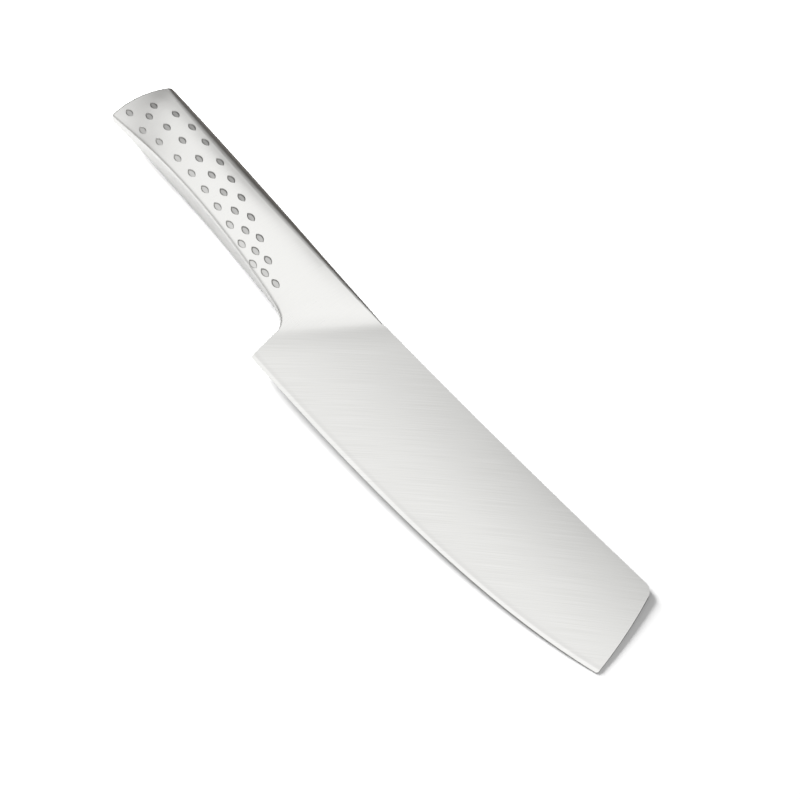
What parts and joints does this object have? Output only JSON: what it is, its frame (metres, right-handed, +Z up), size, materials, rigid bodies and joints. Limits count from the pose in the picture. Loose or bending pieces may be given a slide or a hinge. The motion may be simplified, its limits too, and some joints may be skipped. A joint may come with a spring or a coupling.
{
  "type": "nakiri knife",
  "caption": "All-steel vegetable knife with a flat-ground, square-fronted blade and a hollow grip with rows of pressed round pits.",
  "frame": {"origin": "on the table, under the middle of the knife's box as it lies on its right side", "axes": "+Z up from the table, +X towards the blade's front end, +Y from the cutting edge towards the spine; the grip points to -X"},
  "size_m": [0.2814, 0.0634, 0.0161],
  "materials": {
    "blade_steel": "brushed satin",
    "grip_steel": "fine satin",
    "sand": "loose dry grains, packed"
  },
  "bodies": {
    "root": {"blade": "blade_steel", "left_handle_shell": "grip_steel", "right_handle_shell": "grip_steel", "butt_plate": "grip_steel", "fill_plug": "grip_steel", "sand_ballast": "sand"}
  },
  "joints": []
}
